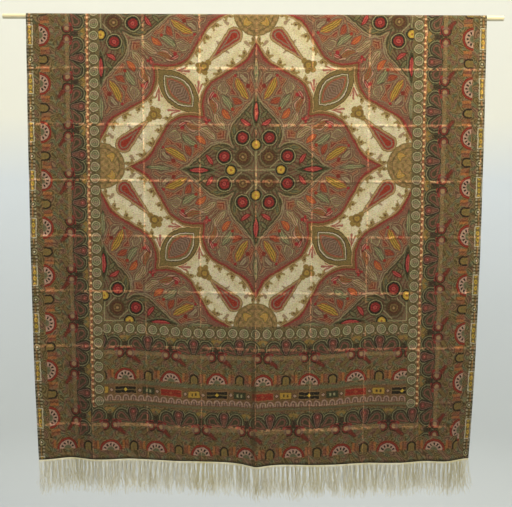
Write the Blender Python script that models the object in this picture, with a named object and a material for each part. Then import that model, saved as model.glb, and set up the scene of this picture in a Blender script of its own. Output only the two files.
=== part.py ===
"""A long fringed shawl, folded in half over a round wooden rod and hanging down in front of
it and behind it. Metres, +Z up; the rod runs along X, the front half faces -Y, and the
origin is the middle of the rod, where it is held."""
import math
import random
from collections import namedtuple

import bmesh
import bpy
from mathutils import Vector

# Rod
ROD_LENGTH = 1.765
ROD_RADIUS = 0.009
ROD_SIDES = 24

# Cloth
CLOTH_WIDTH = 1.62
CLOTH_CENTRE_X = 0.011
WALL = 0.0012
ROD_GAP = 0.0005
SEAM_GAP = 0.0003
FRONT_DROP = 1.570
BACK_DROP = 1.562
COLUMNS = 32
ROWS_PER_HALF = 31
ROWS_OVER_ROD = 10
HANG = ROD_RADIUS + ROD_GAP + WALL / 2

# How the hanging cloth gives: it hangs a little to the right, the folds gather its whole
# width more and more towards the hem, the side borders are drawn in at the hem itself,
# and the middle of each half sags lower than its sides, in a shallow V
LEAN = 0.0035
GATHER_EVENLY = 0.0094
GATHER_GROWING = 0.0229
DRAWN_IN_AT_HEM = 0.013
DRAWN_IN_GROWTH = 5
BORDER_STARTS = 0.70
BELLY_SAG = 0.029
BELLY_GROWTH = 2.5
BELLY_ROUNDNESS_LEFT = 0.6
BELLY_ROUNDNESS_RIGHT = 1.7

# Soft folds: place across (-1 is the left edge from the front, 1 the right), reach to
# either side on the same scale, how far each one stands out at the hem, and its growth
Fold = namedtuple("Fold", "across reach stands_out growth")
FRONT_FOLDS = (
    Fold(across=-1.00, reach=0.17, stands_out=0.046, growth=2.4),
    Fold(across=-0.72, reach=0.15, stands_out=0.024, growth=1.6),
    Fold(across=-0.37, reach=0.20, stands_out=0.009, growth=1.5),
    Fold(across=0.00, reach=0.14, stands_out=0.018, growth=2.2),
    Fold(across=0.00, reach=0.07, stands_out=0.014, growth=3.0),
    Fold(across=0.33, reach=0.20, stands_out=0.011, growth=1.5),
    Fold(across=0.66, reach=0.15, stands_out=0.014, growth=1.6),
    Fold(across=0.88, reach=0.13, stands_out=0.024, growth=2.0),
)
BACK_FOLDS = (
    Fold(across=-0.86, reach=0.14, stands_out=0.026, growth=2.0),
    Fold(across=-0.50, reach=0.20, stands_out=0.012, growth=1.5),
    Fold(across=-0.05, reach=0.15, stands_out=0.018, growth=2.2),
    Fold(across=0.45, reach=0.20, stands_out=0.010, growth=1.5),
    Fold(across=0.80, reach=0.15, stands_out=0.022, growth=1.8),
    Fold(across=1.00, reach=0.12, stands_out=0.020, growth=2.4),
)

# Shallow ridges and valleys where the cloth was kept folded into squares
CREASE_SPACING = 0.2
CREASE_RISE = 0.005
CREASE_FADE = 0.12

# Fringe: a narrow heading strip along each hem with loose locks hanging from it
LOCKS = 120
LOCK_SHARE = 0.42
STRIP_HEIGHT = 0.006
STRIP_THICKNESS = 0.002
LOCK_LENGTH = 0.112
LOCK_LENGTH_SPREAD = 0.011
LOCK_TIP_SHARE = 0.45
LOCK_SWAY = 0.005
LOCK_SEED = 11

Finish = namedtuple("Finish", "colour roughness metallic")
CLOTH_FINISH = Finish(colour=(0.26, 0.13, 0.08, 1.0), roughness=0.90, metallic=0.0)
FRINGE_FINISH = Finish(colour=(0.66, 0.58, 0.40, 1.0), roughness=0.88, metallic=0.0)
ROD_FINISH = Finish(colour=(0.78, 0.72, 0.56, 1.0), roughness=0.60, metallic=0.0)


def clear_scene():
    for old in list(bpy.data.objects):
        bpy.data.objects.remove(old, do_unlink=True)


def material(name, finish):
    made = bpy.data.materials.new(name)
    made.use_nodes = True
    shader = made.node_tree.nodes["Principled BSDF"]
    shader.inputs["Base Color"].default_value = finish.colour
    shader.inputs["Roughness"].default_value = finish.roughness
    shader.inputs["Metallic"].default_value = finish.metallic
    made.diffuse_color = finish.colour
    return made


def add_object(name, vertices, faces, finish):
    mesh = bpy.data.meshes.new(name)
    mesh.from_pydata([tuple(v) for v in vertices], [], faces)
    mesh.materials.append(finish)
    work = bmesh.new()
    work.from_mesh(mesh)
    bmesh.ops.recalc_face_normals(work, faces=work.faces)
    work.to_mesh(mesh)
    work.free()
    made = bpy.data.objects.new(name, mesh)
    bpy.context.scene.collection.objects.link(made)
    return made


def smooth(share):
    """Eases 0..1 in and out, and holds outside it."""
    share = min(max(share, 0.0), 1.0)
    return share * share * (3 - 2 * share)


def stand_out(folds, across, down):
    """How far the cloth stands out from its hanging plane: across is -1..1, down 0..1."""
    total = 0.0
    for fold in folds:
        away = abs(across - fold.across) / fold.reach
        if away < 1:
            height = 0.5 * (1 + math.cos(math.pi * away))
            total += fold.stands_out * height * down ** fold.growth
    return total


def zigzag(length):
    """0..1 between neighbouring creases, 1 on every second crease."""
    return abs(length / CREASE_SPACING % 2 - 1)


def crease_relief(across, hanging):
    """The rise left by the storage creases at a length down from the rod."""
    over_both = zigzag(across * CLOTH_WIDTH / 2 + CREASE_SPACING) + zigzag(hanging)
    return CREASE_RISE * over_both / 2 * smooth(hanging / CREASE_FADE)


def across_x(across, down):
    gathered = 1 - GATHER_EVENLY * down - GATHER_GROWING * down ** 2
    share = smooth((abs(across) - BORDER_STARTS) / (1 - BORDER_STARTS))
    drawn_in = DRAWN_IN_AT_HEM * down ** DRAWN_IN_GROWTH * share
    half = CLOTH_WIDTH / 2 * abs(across) * gathered - drawn_in
    return CLOTH_CENTRE_X + LEAN * down + math.copysign(half, across)


def hanging_point(across, down, drop, folds, side):
    """A point of one hanging half; side is -1 for the front and 1 for the back."""
    roundness = BELLY_ROUNDNESS_LEFT if across < 0 else BELLY_ROUNDNESS_RIGHT
    sag = BELLY_SAG * (1 - abs(across) ** roundness) * down ** BELLY_GROWTH
    relief = crease_relief(across, drop * down)
    y = side * (HANG + stand_out(folds, across, down) + relief)
    return Vector((across_x(across, down), y, -drop * down - sag))


def cloth_rows():
    """Rows of points down the middle of the wall, from the front hem over the rod to the
    back hem, each from the left edge to the right."""
    places = [2 * column / COLUMNS - 1 for column in range(COLUMNS + 1)]
    rows = []
    for row in range(ROWS_PER_HALF):
        down = 1 - row / ROWS_PER_HALF
        rows.append([hanging_point(a, down, FRONT_DROP, FRONT_FOLDS, -1) for a in places])
    for row in range(ROWS_OVER_ROD + 1):
        turn = math.pi * row / ROWS_OVER_ROD
        y = -HANG * math.cos(turn)
        z = HANG * math.sin(turn)
        rows.append([Vector((across_x(a, 0), y, z)) for a in places])
    for row in range(ROWS_PER_HALF):
        down = (row + 1) / ROWS_PER_HALF
        rows.append([hanging_point(a, down, BACK_DROP, BACK_FOLDS, 1) for a in places])
    return rows


def outward(rows, row, column):
    """The cloth's outward direction at a grid point, from its neighbours."""
    before = rows[max(row - 1, 0)][column]
    after = rows[min(row + 1, len(rows) - 1)][column]
    left = rows[row][max(column - 1, 0)]
    right = rows[row][min(column + 1, COLUMNS)]
    return (right - left).cross(after - before).normalized()


def make_shawl(rows):
    """The cloth as one closed wall of even thickness over the rod."""
    width = COLUMNS + 1
    outer = []
    inner = []
    for row, points in enumerate(rows):
        for column, point in enumerate(points):
            offset = outward(rows, row, column) * WALL / 2
            outer.append(point + offset)
            inner.append(point - offset)
    shift = len(outer)
    faces = []
    for row in range(len(rows) - 1):
        for column in range(COLUMNS):
            a = row * width + column
            b = a + 1
            c = b + width
            d = a + width
            faces.append((a, b, c, d))
            faces.append((shift + d, shift + c, shift + b, shift + a))
    last = (len(rows) - 1) * width
    for column in range(COLUMNS):
        for start, step in ((column, 1), (last + column + 1, -1)):
            end = start + step
            faces.append((shift + start, shift + end, end, start))
    for row in range(len(rows) - 1):
        for start, step in (((row + 1) * width, -width), (row * width + COLUMNS, width)):
            end = start + step
            faces.append((shift + start, shift + end, end, start))
    return add_object("shawl", outer + inner, faces, material("woven_wool", CLOTH_FINISH))


def along_hem(hem, share):
    """A point at a share 0..1 of the way along the hem's columns."""
    place = share * COLUMNS
    column = min(int(place), COLUMNS - 1)
    return hem[column].lerp(hem[column + 1], place - column)


def strip_column(point):
    """The four corners of the heading strip at one place: top and bottom, front and back."""
    top = point.z - SEAM_GAP
    half = STRIP_THICKNESS / 2
    corners = []
    for z in (top, top - STRIP_HEIGHT):
        for y in (point.y - half, point.y + half):
            corners.append(Vector((point.x, y, z)))
    return corners


def make_fringe(name, hem, side, finish):
    """The heading strip with its locks: each lock grows from a cell of the strip's foot."""
    chance = random.Random(LOCK_SEED + side)
    cells = 2 * LOCKS - 1
    shares = []
    for lock in range(LOCKS):
        start = lock * (1 - LOCK_SHARE / LOCKS) / (LOCKS - 1)
        shares += [start, start + LOCK_SHARE / LOCKS]
    vertices = []
    for share in shares:
        vertices += strip_column(along_hem(hem, share))
    faces = [(0, 1, 3, 2), (4 * cells, 4 * cells + 2, 4 * cells + 3, 4 * cells + 1)]
    for cell in range(cells):
        a = 4 * cell
        b = a + 4
        faces.append((a, b, b + 1, a + 1))
        faces.append((a, a + 2, b + 2, b))
        faces.append((a + 1, b + 1, b + 3, a + 3))
        if cell % 2:
            faces.append((a + 2, a + 3, b + 3, b + 2))
            continue
        ring = (a + 2, a + 3, b + 3, b + 2)
        length = LOCK_LENGTH + LOCK_LENGTH_SPREAD * chance.uniform(-1, 1)
        drift = LOCK_SWAY * math.sin(cell / 9 + side) + chance.uniform(-1, 1) * LOCK_SWAY / 4
        centre = sum((vertices[corner] for corner in ring), Vector()) / 4
        for depth, thin in ((0.45, 0.85), (1.0, LOCK_TIP_SHARE)):
            foot = centre + Vector((drift * depth ** 2, side * abs(drift) * depth, -length * depth))
            start = len(vertices)
            for corner in (a + 2, a + 3, b + 3, b + 2):
                spread = vertices[corner] - centre
                vertices.append(foot + Vector((spread.x, spread.y, 0)) * thin)
            below = tuple(range(start, start + 4))
            for edge in range(4):
                after = (edge + 1) % 4
                faces.append((ring[edge], ring[after], below[after], below[edge]))
            ring = below
        faces.append(ring)
    return add_object(name, vertices, faces, finish)


def make_rod():
    work = bmesh.new()
    bmesh.ops.create_cone(
        work,
        cap_ends=True,
        segments=ROD_SIDES,
        radius1=ROD_RADIUS,
        radius2=ROD_RADIUS,
        depth=ROD_LENGTH,
    )
    mesh = bpy.data.meshes.new("rod")
    work.to_mesh(mesh)
    work.free()
    mesh.materials.append(material("pale_wood", ROD_FINISH))
    made = bpy.data.objects.new("rod", mesh)
    made.rotation_euler = (0, math.pi / 2, 0)
    bpy.context.scene.collection.objects.link(made)
    return made


def main():
    clear_scene()
    rows = cloth_rows()
    make_rod()
    make_shawl(rows)
    fringe_finish = material("fringe_wool", FRINGE_FINISH)
    make_fringe("fringe_front", rows[0], -1, fringe_finish)
    make_fringe("fringe_back", rows[-1], 1, fringe_finish)


main()
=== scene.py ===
# %% [markdown]
# # A long fringed shawl over a rod
# The real thing is one rectangle of finely woven wool, twice as long as it is wide. It is
# folded in half over a round rod, and both short ends carry a fringe of loose threads.
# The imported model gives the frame: every piece below goes where its solid already is.

import math
from collections import namedtuple

import bmesh
import bpy
from mathutils import Matrix, Vector, noise


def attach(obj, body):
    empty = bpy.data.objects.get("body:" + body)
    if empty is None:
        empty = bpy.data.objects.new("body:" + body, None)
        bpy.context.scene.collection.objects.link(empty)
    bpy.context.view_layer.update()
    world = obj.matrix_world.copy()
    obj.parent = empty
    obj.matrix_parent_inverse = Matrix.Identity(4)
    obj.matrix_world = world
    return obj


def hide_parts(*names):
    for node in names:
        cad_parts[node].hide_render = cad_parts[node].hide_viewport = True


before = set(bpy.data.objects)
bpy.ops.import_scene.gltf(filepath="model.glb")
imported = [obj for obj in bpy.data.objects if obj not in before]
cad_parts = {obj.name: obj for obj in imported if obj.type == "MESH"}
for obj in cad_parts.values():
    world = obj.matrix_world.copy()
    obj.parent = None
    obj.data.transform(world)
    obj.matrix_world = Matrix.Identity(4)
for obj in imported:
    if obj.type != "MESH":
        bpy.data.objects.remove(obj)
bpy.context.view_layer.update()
scene = bpy.context.scene
print("nodes:", sorted(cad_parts))

# %% [markdown]
# ## Camera
# The photograph looks at the hanging front from a little above its middle. Widths shrink
# slightly from the rod to the hem, which fixes the camera's downward tilt, and the rod
# runs a touch downhill to the right, which is a small roll.

# %% Camera
PHOTO_WIDTH = 512
FOCAL_PIXELS = 898.4
SENSOR_WIDTH = 36.0
CAMERA_AT = Vector((0.0138, -3.2124, -0.6313))
TILT_DOWN = math.radians(3.607)
ROLL = math.radians(0.282)


def make_camera():
    lens = bpy.data.cameras.new("camera")
    lens.sensor_width = SENSOR_WIDTH
    lens.lens = FOCAL_PIXELS * SENSOR_WIDTH / PHOTO_WIDTH
    camera = bpy.data.objects.new("camera", lens)
    level = Matrix.Rotation(math.pi / 2 - TILT_DOWN, 4, "X")
    camera.matrix_world = Matrix.Translation(CAMERA_AT) @ level @ Matrix.Rotation(ROLL, 4, "Z")
    scene.collection.objects.link(camera)
    scene.camera = camera
    return camera


camera = make_camera()
print("lens:", round(camera.data.lens, 1), "mm")

# %% [markdown]
# ## Small helpers for meshes and colours
# Colours are written as they look in the photograph, from 0 to 255, and turned into the
# linear light that a shader works in. Meshes are made at the origin, in metres.

# %% Colours and meshes


def seen(red, green, blue):
    """A colour as it looks on a screen, 0 to 255, as linear light."""
    channels = []
    for channel in (red, green, blue):
        share = channel / 255
        channels.append(share / 12.92 if share <= 0.04045 else ((share + 0.055) / 1.055) ** 2.4)
    return (*channels, 1.0)


def new_piece(name, vertices, faces):
    mesh = bpy.data.meshes.new(name)
    mesh.from_pydata([tuple(v) for v in vertices], [], faces)
    mesh.update()
    piece = bpy.data.objects.new(name, mesh)
    scene.collection.objects.link(piece)
    return piece


def smooth(share):
    """Eases 0..1 in and out, and holds outside it."""
    share = min(max(share, 0.0), 1.0)
    return share * share * (3 - 2 * share)


# %% [markdown]
# ## How the cloth hangs
# The rod pushes the two halves 19 mm apart. Below it the cloth hangs straight, with soft
# vertical folds that grow towards the hem. The middle sags lower than the sides, and the
# side borders are drawn in near the hem. The cloth was kept folded into squares of 0.2 m,
# and each square still bows a little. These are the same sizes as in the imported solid,
# with a finer grid and a few small puckers on top.

# %% Sizes of the hanging cloth
WIDTH = 1.62
CENTRE_X = 0.011
WALL = 0.0012
ROD_RADIUS = 0.009
REST_GAP = 0.0005
HANG = ROD_RADIUS + REST_GAP + WALL / 2
FRONT_DROP = 1.570
BACK_DROP = 1.562
HALF_LENGTH = FRONT_DROP + HANG * math.pi / 2
CREASE_SPACING = 0.2
CREASE_RISE = 0.005
CREASE_FADE = 0.12
LEAN = 0.0035
GATHER_EVENLY = 0.0094
GATHER_GROWING = 0.0229
DRAWN_IN_AT_HEM = 0.013
DRAWN_IN_GROWTH = 5
BORDER_STARTS = 0.70
BELLY_SAG = 0.029
BELLY_GROWTH = 2.5
BELLY_ROUNDNESS_LEFT = 0.6
BELLY_ROUNDNESS_RIGHT = 1.7
PUCKER_RISE = 0.0042
DIMPLE_RISE = 0.0016
PUCKER_FADE = 0.5

Fold = namedtuple("Fold", "across reach stands_out growth")
FRONT_FOLDS = (
    Fold(across=-1.00, reach=0.17, stands_out=0.046, growth=2.4),
    Fold(across=-0.72, reach=0.15, stands_out=0.024, growth=1.6),
    Fold(across=-0.37, reach=0.20, stands_out=0.009, growth=1.5),
    Fold(across=0.00, reach=0.14, stands_out=0.018, growth=2.2),
    Fold(across=0.00, reach=0.07, stands_out=0.014, growth=3.0),
    Fold(across=0.33, reach=0.20, stands_out=0.011, growth=1.5),
    Fold(across=0.66, reach=0.15, stands_out=0.014, growth=1.6),
    Fold(across=0.88, reach=0.13, stands_out=0.024, growth=2.0),
)
BACK_FOLDS = (
    Fold(across=-0.86, reach=0.14, stands_out=0.026, growth=2.0),
    Fold(across=-0.50, reach=0.20, stands_out=0.012, growth=1.5),
    Fold(across=-0.05, reach=0.15, stands_out=0.018, growth=2.2),
    Fold(across=0.45, reach=0.20, stands_out=0.010, growth=1.5),
    Fold(across=0.80, reach=0.15, stands_out=0.022, growth=1.8),
    Fold(across=1.00, reach=0.12, stands_out=0.020, growth=2.4),
)
print("cloth:", WIDTH, "by", round(2 * HALF_LENGTH, 3), "m")

# %% Points of the hanging cloth


def zigzag(length):
    """0..1 between neighbouring creases, 1 on every second crease."""
    return abs(length / CREASE_SPACING % 2 - 1)


def pucker(across, hanging, side):
    """Small uneven puckers, tall and narrow, that grow towards the hem and the edges."""
    ripple = 0.5 + 0.5 * noise.noise(Vector((across * 15, hanging * 1.9, side * 7.0)))
    dimple = 0.5 + 0.5 * noise.noise(Vector((across * 7, hanging * 8, side * 3.0 + 11)))
    grown = smooth(hanging / PUCKER_FADE) * (0.4 + 0.6 * hanging / FRONT_DROP)
    return (PUCKER_RISE * (0.6 + 0.6 * abs(across)) * ripple + DIMPLE_RISE * dimple) * grown


def stand_out(across, down, hanging, side):
    """How far the cloth stands out from its hanging plane."""
    total = pucker(across, hanging, side)
    for fold in FRONT_FOLDS if side < 0 else BACK_FOLDS:
        away = abs(across - fold.across) / fold.reach
        if away < 1:
            total += fold.stands_out * 0.5 * (1 + math.cos(math.pi * away)) * down ** fold.growth
    squares = zigzag(across * WIDTH / 2 + CREASE_SPACING) + zigzag(hanging)
    return total + CREASE_RISE * squares / 2 * smooth(hanging / CREASE_FADE)


def across_x(across, down):
    gathered = 1 - GATHER_EVENLY * down - GATHER_GROWING * down ** 2
    share = smooth((abs(across) - BORDER_STARTS) / (1 - BORDER_STARTS))
    drawn_in = DRAWN_IN_AT_HEM * down ** DRAWN_IN_GROWTH * share
    half = WIDTH / 2 * abs(across) * gathered - drawn_in
    return CENTRE_X + LEAN * down + math.copysign(half, across)


def hanging_point(across, down, side):
    """A point in the middle of the wall; side is -1 for the front and 1 for the back."""
    drop = FRONT_DROP if side < 0 else BACK_DROP
    roundness = BELLY_ROUNDNESS_LEFT if across < 0 else BELLY_ROUNDNESS_RIGHT
    sag = BELLY_SAG * (1 - abs(across) ** roundness) * down ** BELLY_GROWTH
    y = side * (HANG + stand_out(across, down, drop * down, side))
    return Vector((across_x(across, down), y, -drop * down - sag))


# %% [markdown]
# ## The cloth as a thin closed shell
# A grid of points is worked out for the middle of the wall, and moved half the wall's
# thickness to either side. The front half gets the finer rows, because the photograph is
# taken from there. The UV map is the cloth laid flat: U across, V from the front hem over
# the rod to the back hem, so the woven pattern bends with the cloth.

# %% Build the cloth
COLUMNS = 140
FRONT_ROWS = 186
BACK_ROWS = 96
ROD_ROWS = 16
OUTSIDE, REVERSE = 0, 1


def cloth_rows():
    """Each row is (V, points from the left edge to the right)."""
    places = [2 * column / COLUMNS - 1 for column in range(COLUMNS + 1)]
    turn_length = HANG * math.pi
    rows = []
    for row in range(FRONT_ROWS):
        down = 1 - row / FRONT_ROWS
        v = 0.5 * (1 - (down * FRONT_DROP + turn_length / 2) / HALF_LENGTH)
        rows.append((v, [hanging_point(a, down, -1) for a in places]))
    for row in range(ROD_ROWS + 1):
        turn = math.pi * row / ROD_ROWS
        y, z = -HANG * math.cos(turn), HANG * math.sin(turn)
        v = 0.5 + 0.5 * (row / ROD_ROWS - 0.5) * turn_length / HALF_LENGTH
        rows.append((v, [Vector((across_x(a, 0), y, z)) for a in places]))
    for row in range(BACK_ROWS):
        down = (row + 1) / BACK_ROWS
        v = 0.5 * (1 + (down * FRONT_DROP + turn_length / 2) / HALF_LENGTH)
        rows.append((v, [hanging_point(a, down, 1) for a in places]))
    return rows


def shell_points(rows):
    """Outer points, then inner points, half a wall either side of the rows."""
    grid = [points for _, points in rows]
    outer, inner = [], []
    for r, points in enumerate(grid):
        before, after = grid[max(r - 1, 0)], grid[min(r + 1, len(grid) - 1)]
        for c, point in enumerate(points):
            along = after[c] - before[c]
            right = points[min(c + 1, COLUMNS)] - points[max(c - 1, 0)]
            offset = right.cross(along).normalized() * WALL / 2
            outer.append(point + offset)
            inner.append(point - offset)
    return outer, inner


def make_shawl(rows):
    outer, inner = shell_points(rows)
    width, shift = COLUMNS + 1, len(outer)
    faces, sides = [], []
    for r in range(len(rows) - 1):
        for c in range(COLUMNS):
            a, b = r * width + c, r * width + c + 1
            faces.append((a, b, b + width, a + width))
            faces.append((shift + a + width, shift + b + width, shift + b, shift + a))
            sides += [OUTSIDE, REVERSE]
    last = (len(rows) - 1) * width
    rim = list(range(width))
    rim += [r * width + COLUMNS for r in range(1, len(rows))]
    rim += [last + c for c in range(COLUMNS - 1, -1, -1)]
    rim += [r * width for r in range(len(rows) - 2, 0, -1)]
    for start, end in zip(rim, rim[1:] + rim[:1]):
        faces.append((start, shift + start, shift + end, end))
        sides.append(OUTSIDE)
    piece = new_piece("shawl_cloth", outer + inner, faces)
    mesh = piece.data
    mesh.polygons.foreach_set("material_index", sides)
    mesh.polygons.foreach_set("use_smooth", [len(sides) - i > len(rim) for i in range(len(sides))])
    flat = mesh.uv_layers.new(name="cloth")
    for loop in mesh.loops:
        row, column = divmod(loop.vertex_index % shift, width)
        flat.data[loop.index].uv = (column / COLUMNS, rows[row][0])
    return piece


rows = cloth_rows()
shawl = make_shawl(rows)
front_hem = rows[0][1]
back_hem = rows[-1][1]
print("cloth faces:", len(shawl.data.polygons), "hem at", round(front_hem[COLUMNS // 2].z, 3))

# %% [markdown]
# ## Drawing a pattern with maths
# The cloth's pattern is woven, so it is drawn by sums and not painted from a picture. A
# distance to each motif's edge becomes a soft mask, and the mask lays the motif's colour
# over what is below. The pen adds those Math and Mix nodes to a node tree. All places
# and sizes in the charts are millimetres on the flat cloth.

# %% A pen for node trees
EDGE_SOFTNESS = 2.6


class Pen:
    """Adds maths, masks and layers of colour to one node tree."""

    def __init__(self, tree):
        self.tree = tree
        self.made = 0

    def node(self, kind, **settings):
        node = self.tree.nodes.new(kind)
        node.location = (self.made % 40 * 170, -(self.made // 40) * 220)
        self.made += 1
        for name, value in settings.items():
            setattr(node, name, value)
        return node

    def feed(self, socket, given):
        if isinstance(given, bpy.types.NodeSocket):
            self.tree.links.new(given, socket)
        else:
            socket.default_value = given

    def feed_by_name(self, sockets, given):
        """Feeds sockets by their names, which are written with _ for a space."""
        for title, value in given.items():
            self.feed(sockets[title.replace("_", " ")], value)

    def fill(self, node, *given):
        """Feeds the node's first inputs in turn, and gives its first output."""
        for socket, value in zip(node.inputs, given):
            self.feed(socket, value)
        return node.outputs[0]

    def sum(self, operation, *given):
        return self.fill(self.node("ShaderNodeMath", operation=operation), *given)

    def plus(self, value, other):
        return self.sum("ADD", value, other)

    def less(self, value, other):
        return self.sum("SUBTRACT", value, other)

    def times(self, value, other):
        return self.sum("MULTIPLY", value, other)

    def over(self, value, other):
        return self.sum("DIVIDE", value, other)

    def line(self, value, slope, start):
        """The value times the slope, plus the start."""
        return self.sum("MULTIPLY_ADD", value, slope, start)

    def fold(self, value, length):
        """The value folded to and fro between 0 and the length."""
        return self.sum("PINGPONG", value, length)

    def size(self, value):
        return self.sum("ABSOLUTE", value)

    def off(self, value, middle):
        """How far the value is from the middle."""
        return self.size(self.less(value, middle))

    def held(self, value):
        """The value, kept between 0 and 1."""
        return self.fill(self.node("ShaderNodeClamp"), value)

    def grown(self, value, start, length):
        """0 up to the start, 1 from a length beyond it."""
        return self.held(self.line(value, 1 / length, -start / length))

    def vector(self, operation, *given):
        node = self.node("ShaderNodeVectorMath", operation=operation)
        self.fill(node, *given)
        number = operation in ("DISTANCE", "LENGTH", "DOT_PRODUCT")
        return node.outputs["Value" if number else "Vector"]

    def place(self, x, y):
        return self.fill(self.node("ShaderNodeCombineXYZ"), x, y)

    def split(self, place):
        """The x, y and z of a place."""
        node = self.node("ShaderNodeSeparateXYZ")
        self.fill(node, place)
        return node.outputs

    def on_piece(self):
        """Where a point lies on its own piece, in metres."""
        return self.node("ShaderNodeTexCoord").outputs["Object"]

    def away(self, place, x, y):
        return self.vector("DISTANCE", place, (x, y, 0))

    def inside(self, distance, reach=0.0, softness=EDGE_SOFTNESS):
        """1 or more where the distance is less than the reach, with a soft edge down to 0."""
        return self.line(distance, -1 / softness, 0.5 + reach / softness)

    def outside(self, distance, reach=0.0, softness=EDGE_SOFTNESS):
        return self.line(distance, 1 / softness, 0.5 - reach / softness)

    def ring(self, distance, middle, half_width, softness=EDGE_SOFTNESS):
        return self.inside(self.off(distance, middle), half_width, softness)

    def both(self, *masks):
        result = masks[0]
        for mask in masks[1:]:
            result = self.sum("MINIMUM", result, mask)
        return result

    def either(self, *masks):
        result = masks[0]
        for mask in masks[1:]:
            result = self.sum("MAXIMUM", result, mask)
        return result

    def lay(self, under, over, *masks):
        """The colour over, laid on the colour under where every mask is 1 or more."""
        mask = self.both(*masks)
        node = self.node("ShaderNodeMix", data_type="RGBA")
        for index, value in ((0, mask), (6, under), (7, over)):
            self.feed(node.inputs[index], value)
        return node.outputs[2]

    def bands(self, colour, distance, bands, *masks):
        """Lays each (reach, dye) in turn, where the distance is less than its reach."""
        for reach, dye in bands:
            colour = self.lay(colour, dye, self.inside(distance, reach), *masks)
        return colour

    def noise(self, place, scale, detail=2.0, roughness=0.5, coloured=False):
        node = self.node("ShaderNodeTexNoise")
        given = {"Vector": place, "Scale": scale, "Detail": detail, "Roughness": roughness}
        self.feed_by_name(node.inputs, given)
        return node.outputs[1 if coloured else 0]

    def streaks(self, place, stretch, detail=2.0, roughness=0.5):
        """Noise on a place that is first multiplied by the stretch."""
        return self.noise(self.vector("MULTIPLY", place, stretch), 1.0, detail, roughness)

    def swirl(self, x, y, size):
        """Waves bent by waves, 0..1: a winding filler that needs no texture node."""
        u = self.sum("SINE", self.line(y, 4.1 / size, 0.5))
        u = self.sum("SINE", self.line(x, 6.2 / size, self.times(u, 1.9)))
        v = self.sum("SINE", self.times(x, 4.7 / size))
        v = self.sum("SINE", self.line(y, 5.8 / size, self.times(v, 1.7)))
        return self.line(self.plus(u, v), 0.25, 0.5)

    def stroke(self, place, start, end, start_reach, end_reach):
        """Distance to the edge of a straight stroke that tapers from start to end."""
        step = Vector(end) - Vector(start)
        from_start = self.vector("SUBTRACT", place, (*start, 0))
        along = self.vector("DOT_PRODUCT", from_start, (*step, 0))
        share = self.held(self.over(along, step.length_squared))
        nearest = self.scaled((*step, 0), share)
        away = self.vector("DISTANCE", from_start, nearest)
        return self.less(away, self.line(share, end_reach - start_reach, start_reach))

    def scaled(self, vector, factor):
        """A place or a colour, times a number."""
        node = self.node("ShaderNodeVectorMath", operation="SCALE")
        self.feed(node.inputs[0], vector)
        self.feed(node.inputs["Scale"], factor)
        return node.outputs[0]

    def leaf(self, place, centre, angle, half_length, half_width, bend=0):
        """Distance to the edge of a pointed oval, and the distance off its bent midrib."""
        turn = math.radians(angle)
        rib = (math.cos(turn), math.sin(turn), 0)
        off = self.vector("SUBTRACT", place, (*centre, 0))
        along = self.over(self.vector("DOT_PRODUCT", off, rib), half_length)
        beside = self.vector("DOT_PRODUCT", off, (-rib[1], rib[0], 0))
        squared = self.times(along, along)
        if bend:
            beside = self.line(squared, bend, beside)
        width = self.line(squared, half_width, -half_width)
        return self.plus(self.size(beside), width), beside

    def curve(self, value, points, scale):
        """Reads a smooth line through a few points; both axes are divided by scale."""
        node = self.node("ShaderNodeFloatCurve")
        line = node.mapping.curves[0]
        node.mapping.use_clip = False
        for x, y in points[1:-1]:
            line.points.new(x / scale, y / scale)
        for point, (x, y) in zip(line.points, points):
            point.location = (x / scale, y / scale)
        node.mapping.update()
        self.feed(node.inputs["Value"], self.over(value, scale))
        return self.times(node.outputs[0], scale)


NUMBER, COLOUR, VECTOR = "NodeSocketFloat", "NodeSocketColor", "NodeSocketVector"


def new_group(name, inputs, outputs):
    """A node group's pen, its inputs by name, and a function that feeds its outputs."""
    group = bpy.data.node_groups.new(name, "ShaderNodeTree")
    for way, sockets in (("INPUT", inputs), ("OUTPUT", outputs)):
        for title, kind in sockets:
            group.interface.new_socket(title, in_out=way, socket_type=kind)
    pen = Pen(group)
    given = pen.node("NodeGroupInput").outputs
    result = pen.node("NodeGroupOutput").inputs

    def give(**values):
        pen.feed_by_name(result, values)
        return group

    return pen, given, give


def use_group(pen, group, **given):
    """Places a group in the pen's tree and feeds its inputs by name."""
    node = pen.node("ShaderNodeGroup", node_tree=group)
    pen.feed_by_name(node.inputs, given)
    return node.outputs


print("pen ready, edges", EDGE_SOFTNESS, "mm soft")

# %% [markdown]
# ## The dyes
# A shawl like this uses about a dozen dyed yarns. Twill mixes neighbouring yarns, so the
# grounds look like muted blends of red, olive and cream.

# %% Dyes
CREAM = seen(185, 177, 160)
CREAM_SHADE = seen(170, 158, 128)
WHITE = seen(178, 166, 152)
BEAD = seen(206, 170, 130)
PINKISH = seen(154, 124, 112)
ORANGE = seen(166, 92, 44)
GOLD = seen(148, 116, 48)
YELLOW = seen(172, 144, 56)
CURL = seen(116, 94, 50)
OLIVE = seen(98, 82, 48)
OLIVE_DARK = seen(54, 45, 26)
STAR_GROUND = seen(80, 66, 42)
MAUVE = seen(102, 67, 56)
MAUVE_GREY = seen(108, 87, 77)
GREY_GREEN = seen(84, 84, 64)
PALE_GREEN = seen(130, 124, 94)
ARCH_LINE = seen(152, 146, 118)
SURROUND_LINE = seen(176, 156, 116)
LEAF_GREEN = seen(42, 46, 29)
NEAR_BLACK = seen(22, 18, 13)
MAROON = seen(64, 23, 19)
DARK_RED = seen(98, 30, 24)
RED = seen(120, 34, 24)
CRIMSON = seen(122, 25, 34)
ROSE = seen(150, 74, 68)
RUST = seen(128, 62, 40)
BROWN = seen(68, 44, 28)
TAN = seen(146, 116, 82)
BORDER_GROUND = seen(91, 71, 38)
print("dyes mixed")

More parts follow.
